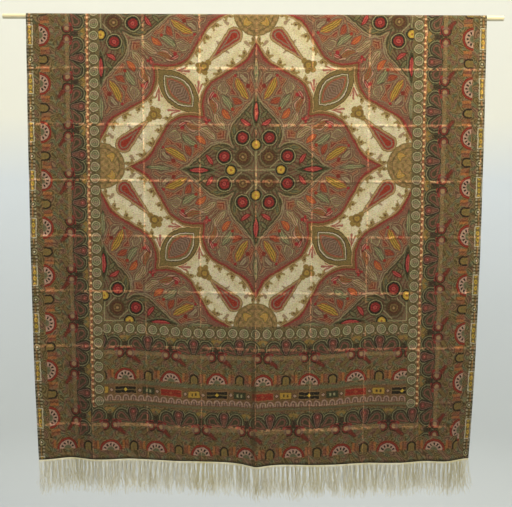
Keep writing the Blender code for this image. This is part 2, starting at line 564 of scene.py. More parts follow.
# %% [markdown]
# ## The medallions of the field
# The field repeats one square. Medallions sit at the middle of each half and at the
# field's corners, all alike, so folding the square over its mirror lines leaves one small
# triangle to draw: the medallion's middle at one end, the cap between two medallions at
# the other. A motif drawn once there appears everywhere it should.

# %% The field's outlines and charts
HALF_CELL = 548
STAR_EDGE = ((0, 90), (82, 82), (105, 93), (126, 95), (147, 91), (165, 82), (196, 54),
             (228, 26), (260, 0), (HALF_CELL, -200))
PETAL_EDGE = ((0, 220), (197, 200), (225, 203), (260, 198), (297, 179), (319, 157), (338, 125),
              (355, 97), (374, 63), (399, 36), (442, 9), (466, -4), (HALF_CELL, -40))
PETAL_LEAN = ((0, 548), (290, 540), (330, 300), (374, 260), (410, 400), (460, 520), (548, 540))

Leaf = namedtuple("Leaf", "x y angle length width bend fill edge stripe")
PETAL_LEAVES = (
    Leaf(284, 54, 28, 46, 14, 6, GOLD, RUST, OLIVE_DARK),
    Leaf(242, 70, 60, 20, 10, 3, RUST, DARK_RED, DARK_RED),
    Leaf(239, 101, 35, 36, 12, -6, GREY_GREEN, LEAF_GREEN, PALE_GREEN),
    Leaf(194, 108, 38, 22, 11, 4, RUST, RED, ORANGE),
    Leaf(171, 133, 31, 32, 12, 6, OLIVE, PALE_GREEN, PINKISH),
    Leaf(345, 0, 0, 44, 9, 0, GREY_GREEN, LEAF_GREEN, PALE_GREEN),
    Leaf(322, 44, 40, 26, 9, -4, MAUVE_GREY, MAROON, PALE_GREEN),
    Leaf(288, 118, 8, 22, 15, 5, MAUVE_GREY, PALE_GREEN, OLIVE),
    Leaf(226, 152, 20, 34, 13, -6, OLIVE, PINKISH, CRIMSON),
    Leaf(182, 182, 44, 16, 8, 0, ROSE, MAROON, CRIMSON),
    Leaf(264, 158, -30, 18, 7, 3, CRIMSON, MAROON, PINKISH),
    Leaf(146, 158, 52, 18, 8, 4, MAUVE_GREY, OLIVE_DARK, PALE_GREEN),
)
STAR_LEAVES = (
    Leaf(205, 0, 0, 62, 14, 0, OLIVE_DARK, GREY_GREEN, LEAF_GREEN),
    Leaf(203, 0, 0, 36, 9, 0, CRIMSON, NEAR_BLACK, ROSE),
    Leaf(165, 38, 57, 21, 8, 2, CRIMSON, MAROON, ROSE),
    Leaf(194, 28, 40, 16, 6, 0, GREY_GREEN, LEAF_GREEN, OLIVE),
    Leaf(132, 76, 12, 26, 8, 5, GREY_GREEN, OLIVE, LEAF_GREEN),
)
CAP_LEAF = Leaf(512, 36, 84, 22, 10, 4, GOLD, OLIVE, TAN)

Dot = namedtuple("Dot", "x y reach colour")
PETAL_DOTS = (
    Dot(262, 146, 7, CRIMSON),
    Dot(176, 166, 5, CRIMSON),
    Dot(294, 29, 8, DARK_RED),
    Dot(214, 84, 6, RED),
    Dot(330, 74, 5, CRIMSON),
)
CURL_DOTS = (
    Dot(-9, -6, 5.5, CURL),
    Dot(-2, -4, 5, CURL),
    Dot(6, -9, 8.5, CURL),
    Dot(4, -10, 3, BROWN),
    Dot(-14, -13, 4, CURL),
    Dot(14, -18, 3, CURL),
)
BLOOM_X, BLOOM_Y = 364, 185
BLOOM_DOTS = (
    Dot(BLOOM_X, BLOOM_Y, 19, CURL),
    Dot(BLOOM_X - 16, BLOOM_Y + 14, 11, CURL),
    Dot(BLOOM_X, BLOOM_Y + 22, 10, CURL),
    Dot(BLOOM_X - 21, BLOOM_Y - 4, 10, CURL),
    Dot(BLOOM_X + 14, BLOOM_Y - 16, 10, CURL),
    Dot(BLOOM_X + 20, BLOOM_Y + 6, 9, CURL),
)

# %% Pen strokes for the field


def fold_into_triangle(pen, across, from_fold):
    """Folds a place over the field's mirror lines into one triangle."""
    a = pen.size(across)
    b = pen.off(from_fold, HALF_CELL)
    over = pen.both(pen.less(HALF_CELL, pen.plus(a, b)), 0)
    a = pen.plus(a, over)
    b = pen.plus(b, over)
    return pen.either(a, b), pen.both(a, b)


def draw_dots(pen, colour, place, dots, *masks):
    for dot in dots:
        away = pen.away(place, dot.x, dot.y)
        colour = pen.lay(colour, dot.colour, pen.inside(away, dot.reach), *masks)
    return colour


def draw_leaf(pen, colour, place, leaf):
    """Lays a striped, outlined leaf; also gives the distance to its edge."""
    edge, beside = pen.leaf(place, (leaf.x, leaf.y), leaf.angle, leaf.length, leaf.width, leaf.bend)
    colour = pen.lay(colour, leaf.edge, pen.inside(edge, 2.6))
    ribs = pen.fold(beside, 3.6)
    inner = pen.lay(leaf.fill, leaf.stripe, pen.outside(ribs, 2.3), 0.8)
    return pen.lay(colour, inner, pen.inside(edge, -1)), edge


def draw_rosette(pen, colour, place, x, y):
    away = pen.away(place, x, y)
    colour = pen.bands(colour, away, ((32, OLIVE_DARK), (27.5, PALE_GREEN)), 0.8)
    colour = pen.bands(colour, away, ((24.5, NEAR_BLACK), (18, DARK_RED), (14, CRIMSON)))
    colour = pen.lay(colour, MAROON, pen.ring(away, 9.5, 1.2), 0.7)
    return pen.lay(colour, ROSE, pen.ring(away, 5, 1.4), 0.7)


def draw_star(pen, colour, place, x, y, beyond):
    """The dark four-pointed star in the medallion's middle, its leaves and its rosette."""
    lines = pen.fold(pen.line(pen.swirl(x, y, 50), 8, beyond), 5.2)
    dark = pen.lay(STAR_GROUND, MAUVE, pen.swirl(y, x, 60))
    dark = pen.lay(dark, GREY_GREEN, pen.outside(lines, 3.8), 0.7)
    dark = pen.lay(dark, NEAR_BLACK, pen.inside(lines, 1.1), 0.5)
    colour = pen.lay(colour, dark, pen.inside(beyond))
    colour = pen.lay(colour, PALE_GREEN, pen.ring(beyond, 0, 1.2), 0.6)
    colour = pen.lay(colour, LEAF_GREEN, pen.ring(beyond, -6, 2.2), 0.8)
    for leaf in STAR_LEAVES:
        colour, _ = draw_leaf(pen, colour, place, leaf)
    stem = pen.stroke(place, (98, 52), (52, 8), 1.6, 1.6)
    colour = pen.lay(colour, PALE_GREEN, pen.inside(stem), 0.7)
    return draw_rosette(pen, colour, place, 113, 48)


def draw_middle(pen, colour, place):
    """The light cross, a brown flower between its arms and a gold bead on each axis."""
    flower = ((29, OLIVE_DARK), (25, BROWN), (19, MAROON), (15, OLIVE), (10, BROWN), (4, TAN))
    colour = pen.bands(colour, pen.away(place, 46, 46), flower, 0.8)
    cross = pen.stroke(place, (0, 0), (66, 0), 2.2, 1.6)
    colour = pen.lay(colour, PALE_GREEN, pen.inside(cross), 0.8)
    bead = pen.away(place, 89, 0)
    colour = pen.bands(colour, bead, ((23, GREY_GREEN), (20.5, NEAR_BLACK), (14.5, GOLD)))
    colour = pen.lay(colour, YELLOW, pen.ring(bead, 8, 2.5), 0.8)
    return pen.lay(colour, RUST, pen.inside(bead, 3), 0.8)


def draw_petal_ground(pen, place, x, y, depth, beyond):
    """Rusty ground; thin outlines run round its leaves as the vanes of feathers do."""
    leaves = MAUVE
    level = pen.both(pen.less(depth, 22), beyond)
    for leaf in PETAL_LEAVES:
        leaves, edge = draw_leaf(pen, leaves, place, leaf)
        level = pen.both(level, edge)
    level = pen.line(pen.swirl(x, y, 60), 9, level)
    rusty = pen.lay(RUST, CRIMSON, pen.swirl(x, y, 38))
    ground = pen.lay(MAUVE, MAUVE_GREY, pen.swirl(y, x, 90))
    ground = pen.lay(ground, rusty, pen.outside(level, 17, 7))
    lines = pen.fold(level, 3.6)
    ground = pen.lay(ground, BROWN, pen.inside(lines, 1.2), 0.55)
    ground = pen.lay(ground, PALE_GREEN, pen.outside(lines, 2.8), 0.36)
    drawn = pen.lay(leaves, ground, pen.outside(level, 5, 3))
    return draw_dots(pen, drawn, place, PETAL_DOTS)


def draw_cream_cell(pen, place, x, y, depth):
    """The cream ground between medallions, with its drop, flower, curls and the cap."""
    ground = pen.lay(CREAM, CREAM_SHADE, pen.swirl(x, y, 60))
    along = pen.line(x, 0.62, pen.times(y, -0.78))
    curl = pen.place(pen.sum("WRAP", along, 27, -27), depth)
    ground = draw_dots(pen, ground, curl, CURL_DOTS, pen.outside(x, 285), 0.9)
    cap = pen.away(place, HALF_CELL, 0)
    ground = pen.lay(ground, OLIVE, pen.inside(cap, 81))
    ground = pen.lay(ground, pen.lay(OLIVE, TAN, pen.swirl(x, y, 22)), pen.inside(cap, 77), 0.75)
    ground = pen.lay(ground, OLIVE_DARK, pen.ring(cap, 62, 1.5), 0.5)
    ground, _ = draw_leaf(pen, ground, place, CAP_LEAF)
    for start, end in (((432, 24), (446, 36)), ((408, 96), (420, 110))):
        sprig = pen.stroke(place, start, end, 2, 6)
        ground = pen.lay(ground, MAUVE, pen.inside(sprig), 0.7)
    drop = pen.stroke(place, (379, 168), (470, 79), 3, 32)
    ground = pen.bands(ground, drop, ((0, OLIVE), (-3, TAN), (-7, MAUVE_GREY), (-10, RED),
                                      (-15, MAUVE_GREY), (-20, RED)))
    ground = draw_dots(pen, ground, place, BLOOM_DOTS)
    bloom = pen.away(place, BLOOM_X, BLOOM_Y)
    ground = pen.lay(ground, BROWN, pen.ring(bloom, 13, 2), 0.5)
    ground = pen.lay(ground, GOLD, pen.ring(bloom, 6, 2), 0.6)
    return draw_mid_leaf(pen, ground, place, x, y)


def draw_mid_leaf(pen, ground, place, x, y):
    """The pointed leaf halfway between two medallions, in its long olive surround."""
    along = pen.times(pen.less(HALF_CELL, pen.plus(x, y)), 0.7071)
    beside = pen.times(pen.less(x, y), 0.7071)

    def oval(half_length, half_width):
        width = pen.sum("POWER", pen.over(along, half_length), 2)
        return pen.plus(beside, pen.line(width, half_width, -half_width))

    for end, spread in (((310, 204), 4), ((297, 215), 3), ((299, 193), 3)):
        sprig = pen.stroke(place, (268, 204), end, 1.5, spread)
        ground = pen.lay(ground, CRIMSON, pen.inside(sprig), 0.8)
    ground = pen.bands(ground, oval(104, 57), ((3, SURROUND_LINE), (0, OLIVE_DARK), (-3, OLIVE)))
    edge = oval(68, 38)
    ground = pen.bands(ground, edge, ((8, OLIVE_DARK), (4, WHITE), (1, GREY_GREEN), (-1.5, OLIVE)))
    veins = pen.fold(pen.line(beside, 0.5, along), 5)
    body = pen.lay(MAUVE_GREY, BROWN, pen.outside(veins, 3), 0.6)
    body = pen.lay(body, RUST, pen.ring(edge, -11, 2.5), 0.8)
    return pen.lay(ground, body, pen.inside(edge, -7))


# %% The field's group


def make_field_group():
    inputs = (("Across", NUMBER), ("From Fold", NUMBER))
    pen, given, give = new_group("Medallion field", inputs, (("Colour", COLOUR),))
    x, y = fold_into_triangle(pen, given["Across"], given["From Fold"])
    place = pen.place(x, y)
    lean = pen.over(pen.curve(x, PETAL_LEAN, HALF_CELL), HALF_CELL)
    depth = pen.times(pen.less(pen.curve(x, PETAL_EDGE, HALF_CELL), y), lean)
    beyond = pen.times(pen.less(y, pen.curve(x, STAR_EDGE, HALF_CELL)), 0.8)
    petal = draw_petal_ground(pen, place, x, y, depth, beyond)
    petal = draw_star(pen, petal, place, x, y, beyond)
    petal = draw_middle(pen, petal, place)
    band = pen.line(pen.grown(x, 270, 90), 6, depth)
    petal = pen.bands(petal, band, ((22, MAUVE), (17.5, CRIMSON), (14.5, DARK_RED), (11.5, OLIVE)), 0.75)
    petal = pen.lay(petal, TAN, pen.inside(depth, 3.0), pen.outside(x, 200))
    cell = draw_cream_cell(pen, place, x, y, depth)
    cell = pen.lay(cell, OLIVE_DARK, pen.inside(depth, 0.5), pen.outside(depth, -2.2), 0.6)
    return give(Colour=pen.lay(petal, cell, pen.inside(depth, -0.5)))


field_group = make_field_group()
print("field drawn with", len(field_group.nodes), "nodes")

# %% [markdown]
# ## The bands of the border
# The border's bands run round the cloth with the flat side of each motif outwards. Each
# band is a group that knows two things: Run, how far along the band, counted from a half
# rosette, and Depth, how far in from the band's outer side. It gives back its colour and
# the mask that it covers. The same groups serve the side borders and both bottom rows.

# %% Half rosettes and horseshoes
REPEAT = 168
ROSETTE_REACH = 40.5
SEED_ANGLE = math.radians(32)
HORSESHOE_RISE = 17
BLOCK_AT = 53


def new_band(name):
    """A band's pen, its Run and Depth, and the function that feeds Colour and Cover."""
    inputs = (("Run", NUMBER), ("Depth", NUMBER))
    pen, given, give = new_group(name, inputs, (("Colour", COLOUR), ("Cover", NUMBER)))
    return pen, given["Run"], given["Depth"], give


def make_rosette_group():
    """Half rosettes with black seeds, horseshoes between them, and striped blocks beside."""
    pen, along, depth, give = new_band("Half rosettes")
    run = pen.fold(along, REPEAT / 2)
    away = pen.vector("LENGTH", pen.place(run, depth))
    begun = pen.outside(depth)
    rosette = pen.lay(GREY_GREEN, PINKISH, pen.outside(away, 14, 6))
    turn = pen.over(pen.sum("ARCTAN2", run, depth), SEED_ANGLE)
    seed = pen.line(away, -0.16, pen.times(pen.fold(turn, 0.5), away))
    rosette = pen.lay(rosette, NEAR_BLACK, pen.inside(seed, 1.8), pen.ring(away, 21.5, 4.5))
    for reach, dye in ((27.5, PINKISH), (30.5, MAROON), (33, RED), (38, MAROON)):
        rosette = pen.lay(rosette, dye, pen.outside(away, reach))
    rosette_cover = pen.both(pen.inside(away, ROSETTE_REACH), begun)
    top = pen.either(pen.less(depth, HORSESHOE_RISE), 0)
    shoe_away = pen.vector("LENGTH", pen.place(pen.less(REPEAT / 2, run), top))
    shoe = pen.lay(OLIVE, GOLD, pen.ring(shoe_away, 7, 2.5), 0.15)
    shoe = pen.lay(shoe, NEAR_BLACK, pen.outside(shoe_away, 11.5))
    shoe_cover = pen.both(pen.inside(shoe_away, 17.5), begun)
    beside = pen.off(run, BLOCK_AT)
    block_cover = pen.both(pen.inside(beside, 10, 6), pen.ring(depth, 20, 13, 9), 0.5)
    block = pen.lay(RUST, ORANGE, pen.inside(run, BLOCK_AT - 3, 4))
    block = pen.lay(block, DARK_RED, pen.inside(beside, 2.2))
    colour = pen.lay(pen.lay(block, shoe, shoe_cover), rosette, rosette_cover)
    return give(Colour=colour, Cover=pen.either(rosette_cover, shoe_cover, block_cover))


rosette_group = make_rosette_group()
print("half rosettes every", REPEAT, "mm")

# %% Hooks and scalloped palmettes
COLUMN_DEPTH = 44
PALMETTE_TOP = 91
HOOK_BAND_DEPTH = 107
SIDE_LOBE_RINGS = ((1, NEAR_BLACK), (-1, GREY_GREEN), (-4.5, MAROON), (-7.5, MAUVE), (-13, LEAF_GREEN))
TOP_LOBE_RINGS = ((3, NEAR_BLACK), (-0.5, MAUVE_GREY), (-3, MAROON), (-6, MAUVE))
EYE_RINGS = ((10.5, MAROON), (8, MAUVE), (5, CRIMSON), (2, PINKISH))


def make_hook_group():
    """Cups and commas that meet in a column, and palmettes that spread inwards from it."""
    pen, along, depth, give = new_band("Hooks and palmettes")
    run = pen.sum("WRAP", along, REPEAT / 2, -REPEAT / 2)
    half = pen.place(pen.less(REPEAT / 2, pen.size(run)), depth)
    side_lobe = pen.stroke(half, (14, 55), (43, 75), 8, 21)
    top_lobe = pen.stroke(half, (0, 62), (0, PALMETTE_TOP), 8, 16)
    edge = pen.both(side_lobe, top_lobe)
    winding = pen.swirl(along, depth, 44)
    lines = pen.fold(pen.line(winding, 30, edge), 5)
    colour = pen.lay(BORDER_GROUND, MAUVE, pen.line(winding, 3, -1.2))
    colour = pen.lay(colour, GREY_GREEN, pen.line(pen.swirl(depth, along, 31), 4, -2.4))
    colour = pen.lay(colour, LEAF_GREEN, pen.inside(lines, 1.6), 0.45)
    colour = pen.lay(colour, PALE_GREEN, pen.outside(lines, 4), 0.2)
    valley = pen.stroke(half, (84, 64), (80, 80), 9, 4)
    colour = pen.lay(colour, NEAR_BLACK, pen.inside(valley, 0, 5), 0.8)
    gold, _ = pen.leaf(half, (70, 97), 30, 20, 6)
    colour = pen.lay(colour, GOLD, pen.inside(gold), 0.4)
    outline = ((12, LEAF_GREEN), (7.5, PALE_GREEN), (5.5, NEAR_BLACK))
    colour = pen.bands(colour, edge, outline, pen.outside(depth, 60, 10), 0.9)
    colour = pen.lay(colour, BROWN, pen.inside(edge, 1))
    colour = pen.bands(colour, side_lobe, SIDE_LOBE_RINGS, 0.85)
    colour = pen.bands(colour, top_lobe, TOP_LOBE_RINGS, 0.85)
    colour = pen.bands(colour, pen.away(half, 0, PALMETTE_TOP), EYE_RINGS, 0.8)
    colour = draw_column(pen, colour, pen.place(run, depth), half)
    return give(Colour=colour, Cover=pen.both(pen.outside(depth), pen.inside(depth, HOOK_BAND_DEPTH)))


def draw_column(pen, colour, place, half):
    """The stem under each palmette, and the cup and the comma that meet between two."""
    stem = pen.stroke(half, (0, COLUMN_DEPTH), (60, COLUMN_DEPTH), 5, 6)
    colour = pen.lay(colour, TAN, pen.inside(stem, 0, 5), 0.3)
    run, depth, _ = pen.split(place)
    near_run = pen.size(run)
    near = pen.place(near_run, depth)
    tail = pen.stroke(near, (24, 34), (50, 13), 8, 4)
    dye = pen.lay(OLIVE, DARK_RED, pen.outside(run))
    colour = pen.lay(colour, MAROON, pen.inside(tail, 2, 4), pen.outside(run, -30, 60), 0.7)
    colour = pen.lay(colour, dye, pen.inside(tail, -1), 0.75)
    crimson = pen.stroke(near, (12, 61), (34, 55), 4, 5)
    colour = pen.lay(colour, CRIMSON, pen.inside(crimson, 0, 3), 0.75)
    ring = pen.away(near, 19, 43)
    colour = pen.lay(colour, MAUVE_GREY, pen.inside(ring, 15), 0.8)
    colour = pen.lay(colour, TAN, pen.inside(ring, 6, 5), 0.7)
    facing = pen.inside(near_run, 25, 8)
    colour = pen.lay(colour, NEAR_BLACK, pen.ring(ring, 14, 4.5), facing, 0.9)
    return pen.lay(colour, DARK_RED, pen.ring(ring, 12, 2.5), facing, 0.9)


hook_group = make_hook_group()
print("hooks and palmettes ready")

# %% Guard arches and the block row
ARCH_REPEAT = 41.7
ARCH_BAND_DEPTH = 38
ARCH_MIDDLE = 18
BLOCK_BAND_DEPTH = 76
BLOCK_LINE = 55
SMALL_ARCH = REPEAT / 12


def make_arch_group():
    """A row of small rings in niches, open on the outer side."""
    pen, along, depth, give = new_band("Guard arches")
    run = pen.fold(along, ARCH_REPEAT / 2)
    away = pen.away(pen.place(run, depth), 0, ARCH_MIDDLE)
    which = pen.fold(pen.plus(along, ARCH_REPEAT / 2), ARCH_REPEAT)
    fill = pen.lay(GREY_GREEN, MAUVE_GREY, pen.outside(which, ARCH_REPEAT / 2))
    colour = pen.lay(BORDER_GROUND, GREY_GREEN, 0.4)
    colour = pen.lay(colour, OLIVE_DARK, pen.inside(away, 19), 0.6)
    colour = pen.lay(colour, fill, pen.inside(away, 16), 0.9)
    colour = pen.lay(colour, ARCH_LINE, pen.ring(away, 14.6, 1.2))
    colour = pen.lay(colour, PALE_GREEN, pen.ring(away, 8, 1), 0.8)
    colour = pen.lay(colour, PALE_GREEN, pen.inside(away, 2.2), 0.7)
    post = pen.less(ARCH_REPEAT / 2, run)
    colour = pen.lay(colour, OLIVE_DARK, pen.inside(post, 1.2), pen.inside(depth, 22), 0.6)
    foot = pen.away(pen.place(post, depth), 0, 3)
    colour = pen.lay(colour, PINKISH, pen.inside(foot, 2.6), 0.8)
    return give(Colour=colour, Cover=pen.both(pen.outside(depth), pen.inside(depth, ARCH_BAND_DEPTH)))


def make_block_group():
    """Long blocks, red or black in turn, with small ones between, over small arches."""
    pen, along, depth, give = new_band("Block row")
    run = pen.fold(along, REPEAT / 2)
    second = pen.outside(pen.fold(along, REPEAT), REPEAT / 2)
    third = pen.outside(pen.sum("WRAP", along, 2 * REPEAT, 0), REPEAT)
    line = pen.off(depth, BLOCK_LINE)
    colour = pen.lay(BORDER_GROUND, MAUVE, 0.35)
    body = pen.lay(RED, NEAR_BLACK, second)
    body = pen.lay(body, pen.lay(DARK_RED, OLIVE, second), pen.inside(line, 1.6), 0.8)
    body = pen.lay(body, pen.lay(RUST, YELLOW, second), pen.inside(pen.plus(run, line), 7))
    colour = pen.lay(colour, TAN, pen.inside(run, 39), pen.inside(line, 13.5), 0.5)
    colour = pen.lay(colour, body, pen.inside(run, 38), pen.inside(line, 12))
    small = pen.less(REPEAT / 2, run)
    marks = pen.lay(OLIVE_DARK, PALE_GREEN, third)
    small_body = pen.lay(GOLD, LEAF_GREEN, third)
    small_body = pen.lay(small_body, marks, pen.inside(pen.off(small, 7), 3), pen.inside(line, 5))
    colour = pen.lay(colour, OLIVE_DARK, pen.inside(small, 23), pen.inside(line, 13))
    colour = pen.lay(colour, small_body, pen.inside(small, 21), pen.inside(line, 11))
    diamond = pen.plus(pen.off(run, 51), line)
    colour = pen.bands(colour, diamond, ((9.5, OLIVE_DARK), (6, PINKISH)), 0.8)
    pale = pen.fold(along, SMALL_ARCH)
    away = pen.vector("LENGTH", pen.place(pale, pen.either(pen.less(depth, 26), 0)))
    arches = pen.lay(BROWN, MAUVE_GREY, pen.outside(away, 5))
    arches = pen.lay(arches, PINKISH, pen.ring(away, 9.5, 1.2))
    arches = pen.lay(arches, PINKISH, pen.inside(away, 2.2), 0.6)
    colour = pen.lay(colour, arches, pen.inside(away, 12), pen.outside(depth, 17))
    foot = pen.away(pen.place(pale, depth), SMALL_ARCH, 19)
    colour = pen.lay(colour, PINKISH, pen.inside(foot, 2), 0.7)
    colour = pen.lay(colour, GREY_GREEN, pen.ring(depth, 9, 4), 0.7)
    return give(Colour=colour, Cover=pen.both(pen.outside(depth), pen.inside(depth, BLOCK_BAND_DEPTH)))


arch_group = make_arch_group()
block_group = make_block_group()
print("guard arches every", ARCH_REPEAT, "mm")

# %% Selvedge
SELVEDGE_DEPTH = 24
TICK_REPEAT = REPEAT / 28
KNOT_REPEAT = 11


def make_selvedge_group():
    """Cream-edged bars with a knotted gold core, cream rings between them, and ticks."""
    pen, along, depth, give = new_band("Selvedge")
    run = pen.fold(along, REPEAT / 2)
    step = pen.fold(along, TICK_REPEAT)
    colour = pen.lay(OLIVE, OLIVE_DARK, pen.inside(step, 3), 0.8)
    off = pen.off(depth, SELVEDGE_DEPTH / 2)
    colour = pen.lay(colour, CREAM, pen.outside(step, 3.4), pen.ring(off, 8, 2.4), 0.38)
    colour = pen.lay(colour, CREAM, pen.inside(run, 36), pen.inside(off, 11), 0.8)
    colour = pen.lay(colour, OLIVE, pen.inside(run, 33), pen.inside(off, 8))
    knot = pen.fold(pen.plus(run, KNOT_REPEAT), KNOT_REPEAT)
    knot = pen.vector("LENGTH", pen.place(knot, pen.times(off, 1.3)))
    colour = pen.lay(colour, YELLOW, pen.inside(knot, 7.5), pen.inside(run, 32), 0.85)
    colour = pen.lay(colour, OLIVE_DARK, pen.inside(knot, 3), pen.inside(run, 32), 0.7)
    away = pen.away(pen.place(pen.less(REPEAT / 2, run), depth), 0, 13)
    colour = pen.bands(colour, away, ((14, OLIVE_DARK), (11, PALE_GREEN), (7, OLIVE_DARK), (3, CREAM)))
    return give(Colour=colour, Cover=pen.inside(depth, SELVEDGE_DEPTH))


selvedge_group = make_selvedge_group()
print("selvedge ready")

# %% [markdown]
# ## The whole plan of the cloth
# The UV map says where a point lies on the flat cloth. From it come four distances: from
# the middle, from the edge, from the fold over the rod and from the hem. They place each
# band, and the nearest border wins over the field.

# %% Lay out the bands
HALF_WIDTH_MM = WIDTH / 2 * 1000
HALF_LENGTH_MM = HALF_LENGTH * 1000
SIDE_PITCH_LEFT, SIDE_PITCH_RIGHT = 169.5, 173.5
SIDE_PHASE_LEFT, SIDE_PHASE_RIGHT = 83.3, 89.8
HOOK_PHASE = -6.0
INNER_PHASE, INNER_STRETCH = 26.0, -0.018
OUTER_PHASE, OUTER_STRETCH = -32.0, -0.042
FIELD_SHIFT = 3
SIDE_ROSETTES, SIDE_HOOKS, SIDE_BEADS, SIDE_ARCHES = 45, 100, 215, 219
BEAD_REPEAT = 10.6
INNER_BLOCKS, INNER_LINE, INNER_ROSETTES, INNER_HOOKS, INNER_ARCHES = 190, 274, 284, 335, 447
OUTER_ROSETTES, OUTER_HOOKS, OUTER_TOP = 28, 76, 186
SIDE_WIDTH, LOW_SIDE_WIDTH, FOOT_FROM_EDGE = 256, 205, 52
SIDE_FOOT, LOW_SIDE_FOOT = 172, 60
HEM_LINE = 3.5
BEATEN_UP = ((0, 4), (281, 5), (400, 3), (498, -2), (607, -8), (752, -6), (933, -3),
             (1078, 2), (1169, 9), (1332, 12), (1620, 12))


def stretched(pen, across, phase, stretch):
    """Run along a bottom row; the right half of the cloth is woven a little wider."""
    return pen.less(pen.line(pen.either(across, 0), stretch, across), phase)


def lay_band(pen, colour, group, run, distance, start, *limits):
    """Lays a band whose outer side is at the start."""
    band = use_group(pen, group, Run=run, Depth=pen.less(distance, start))
    return pen.lay(colour, band["Colour"], band["Cover"], *limits)


def draw_filler(pen, x, y):
    """Winding thin lines for the grounds between the bands."""
    winding = pen.swirl(x, y, 62)
    lines = pen.fold(pen.times(winding, 46), 5)
    ground = pen.lay(BORDER_GROUND, MAUVE, pen.line(winding, 3, -1.3))
    ground = pen.lay(ground, GREY_GREEN, pen.line(pen.swirl(y, x, 37), 4, -2.4))
    ground = pen.lay(ground, LEAF_GREEN, pen.inside(lines, 1.6), 0.55)
    return pen.lay(ground, PALE_GREEN, pen.outside(lines, 4.1), 0.28)


def draw_side_border(pen, colour, from_edge, from_fold, right_side, limit):
    """Both side borders: the right one has its own pitch and start, and its hooks turn."""
    phase = pen.line(right_side, SIDE_PHASE_RIGHT - SIDE_PHASE_LEFT, SIDE_PHASE_LEFT)
    shrink = REPEAT / SIDE_PITCH_RIGHT - REPEAT / SIDE_PITCH_LEFT
    shrink = pen.line(right_side, shrink, REPEAT / SIDE_PITCH_LEFT)
    run = pen.times(pen.less(from_fold, phase), shrink)
    turned = pen.times(pen.less(run, HOOK_PHASE), pen.line(right_side, -2, 1))
    colour = lay_band(pen, colour, arch_group, from_fold, from_edge, SIDE_ARCHES, limit)
    colour = lay_band(pen, colour, hook_group, turned, from_edge, SIDE_HOOKS, limit)
    colour = lay_band(pen, colour, rosette_group, run, from_edge, SIDE_ROSETTES, limit)
    colour = pen.lay(colour, RUST, pen.inside(pen.off(from_edge, SIDE_BEADS), 3.2), limit, 0.55)
    bead = pen.away(pen.place(pen.fold(from_fold, BEAD_REPEAT), from_edge), 0, SIDE_BEADS)
    return pen.lay(colour, BEAD, pen.inside(bead, 3.6), limit, 0.9), run


def draw_inner_rows(pen, colour, across, from_hem, limit):
    run = stretched(pen, across, INNER_PHASE, INNER_STRETCH)
    colour = lay_band(pen, colour, arch_group, across, from_hem, INNER_ARCHES, limit)
    hook_limit = pen.both(limit, pen.inside(from_hem, INNER_ARCHES))
    colour = lay_band(pen, colour, hook_group, run, from_hem, INNER_HOOKS, hook_limit)
    colour = lay_band(pen, colour, rosette_group, run, from_hem, INNER_ROSETTES, limit)
    colour = pen.lay(colour, GREY_GREEN, pen.ring(from_hem, INNER_LINE, 5), limit, 0.7)
    return lay_band(pen, colour, block_group, run, from_hem, INNER_BLOCKS, limit)


def draw_outer_rows(pen, colour, across, from_hem, ground, limit, foot_limit):
    run = stretched(pen, across, OUTER_PHASE, OUTER_STRETCH)
    colour = lay_band(pen, colour, hook_group, run, from_hem, OUTER_HOOKS, limit)
    colour = pen.lay(colour, ground, pen.inside(from_hem, OUTER_HOOKS + 2), foot_limit)
    return lay_band(pen, colour, rosette_group, run, from_hem, OUTER_ROSETTES, foot_limit)


def make_plan_group():
    outputs = (("Colour", COLOUR), ("From Fold", NUMBER), ("Across", NUMBER))
    pen, given, give = new_group("Shawl pattern", (("Flat", VECTOR),), outputs)
    flat = pen.split(given["Flat"])
    across = pen.line(flat[0], 2 * HALF_WIDTH_MM, -HALF_WIDTH_MM)
    from_fold = pen.times(pen.off(flat[1], 0.5), 2 * HALF_LENGTH_MM)
    from_hem = pen.less(HALF_LENGTH_MM, from_fold)
    from_edge = pen.less(HALF_WIDTH_MM, pen.size(across))
    right_side = pen.sum("GREATER_THAN", across, 0)
    ground = draw_filler(pen, across, from_fold)
    beaten = pen.curve(pen.plus(across, HALF_WIDTH_MM), BEATEN_UP, 2 * HALF_WIDTH_MM)
    woven = pen.plus(from_fold, beaten)
    above_hem = pen.less(from_hem, beaten)
    field = use_group(pen, field_group, Across=across, From_Fold=pen.plus(woven, FIELD_SHIFT))
    colour = pen.lay(ground, field["Colour"], pen.inside(woven, 2 * HALF_CELL))
    colour = draw_inner_rows(pen, colour, across, above_hem, pen.outside(from_edge, SIDE_BEADS + 1))
    side = pen.both(pen.inside(from_edge, SIDE_WIDTH), pen.outside(from_hem, SIDE_FOOT))
    low_side = pen.both(pen.inside(from_edge, LOW_SIDE_WIDTH), pen.outside(from_hem, LOW_SIDE_FOOT))
    limit = pen.either(side, low_side)
    colour = pen.lay(colour, ground, limit)
    colour, run = draw_side_border(pen, colour, from_edge, from_fold, right_side, limit)
    outer_limit = pen.both(pen.outside(from_edge, LOW_SIDE_WIDTH), pen.inside(above_hem, OUTER_TOP))
    foot_limit = pen.outside(from_edge, FOOT_FROM_EDGE)
    colour = draw_outer_rows(pen, colour, across, above_hem, ground, outer_limit, foot_limit)
    colour = lay_band(pen, colour, selvedge_group, run, from_edge, 0)
    colour = pen.lay(colour, OLIVE_DARK, pen.inside(from_hem, HEM_LINE))
    return give(Colour=colour, From_Fold=from_fold, Across=across)


plan_group = make_plan_group()
print("plan drawn with", len(plan_group.nodes), "nodes and 5 band groups")
